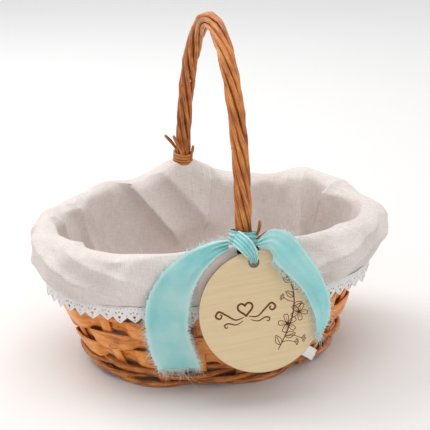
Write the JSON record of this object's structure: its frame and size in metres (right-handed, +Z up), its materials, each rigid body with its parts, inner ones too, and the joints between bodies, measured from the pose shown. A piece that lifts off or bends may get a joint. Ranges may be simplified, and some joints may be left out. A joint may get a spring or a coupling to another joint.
{
  "type": "flower girl basket",
  "caption": "Oval splint and willow petal basket with a fixed twisted handle, turned-out linen lining edged in lace, chiffon ribbon and hanging round wooden tag.",
  "frame": {"origin": "middle of the underside of the woven base, on the surface the basket stands on", "axes": "+X along the basket's length, +Y towards the back so the tag hangs on the -Y side, +Z up"},
  "size_m": [0.312, 0.2414, 0.3012],
  "materials": {
    "splint": "clear varnished honey brown splint, satin",
    "willow": "peeled willow rods, clear varnished, satin",
    "linen": "off-white plain weave",
    "cotton_lace": "white eyelet lace",
    "cotton_tape": "white cotton tape",
    "chiffon": "thin mint chiffon with frayed edges",
    "plywood": "raw birch plywood with a burnt line drawing"
  },
  "bodies": {
    "basket": {"base_slat_cross_1": "splint", "base_slat_cross_2": "splint", "base_slat_cross_3": "splint", "base_slat_cross_4": "splint", "base_slat_cross_5": "splint", "base_slat_cross_6": "splint", "base_slat_cross_7": "splint", "base_slat_long_1": "splint", "base_slat_long_2": "splint", "base_slat_long_3": "splint", "base_slat_long_4": "splint", "base_slat_long_5": "splint", "foot_rod_1": "willow", "foot_rod_2": "willow", "foot_rod_3": "willow", "foot_rod_4": "willow", "handle_binding_back": "willow", "handle_binding_front": "willow", "handle_core": "willow", "handle_strand_1": "willow", "handle_strand_2": "willow", "handle_strand_3": "willow", "handle_strand_4": "willow", "handle_strand_5": "willow", "handle_strand_6": "willow", "handle_strand_7": "willow", "lace_edging": "cotton_lace", "lining_bottom": "linen", "lining_side": "linen", "lining_tie": "cotton_tape", "ribbon_tail_left": "chiffon", "ribbon_wrap": "chiffon", "rim_hoop_inner": "splint", "rim_hoop_outer": "splint", "stake_01": "splint", "stake_02": "splint", "stake_03": "splint", "stake_04": "splint", "stake_05": "splint", "stake_06": "splint", "stake_07": "splint", "stake_08": "splint", "stake_09": "splint", "stake_10": "splint", "stake_11": "splint", "stake_12": "splint", "stake_13": "splint", "stake_14": "splint", "stake_15": "splint", "stake_16": "splint", "weaver_1": "splint", "weaver_2": "splint", "weaver_3": "splint", "weaver_4": "splint", "weaver_5": "splint", "weaver_6": "splint"},
    "tag_hanger": {"ribbon_strand": "chiffon", "ribbon_tail_right": "chiffon"},
    "tag": {"name_tag": "plywood"}
  },
  "joints": [
    {"name": "tag_lift", "type": "hinge", "parent": "basket", "child": "tag_hanger", "pos_m": [-0.003, -0.1088, 0.1339], "axis": [-0.9903, 0.1392, 0], "range_deg": [0, 65]},
    {"name": "tag_turn", "type": "hinge", "parent": "tag_hanger", "child": "tag", "pos_m": [0.001, -0.109, 0.121], "axis": [-0.1361, -0.9686, 0.2079], "range_deg": [-15, 15]}
  ]
}
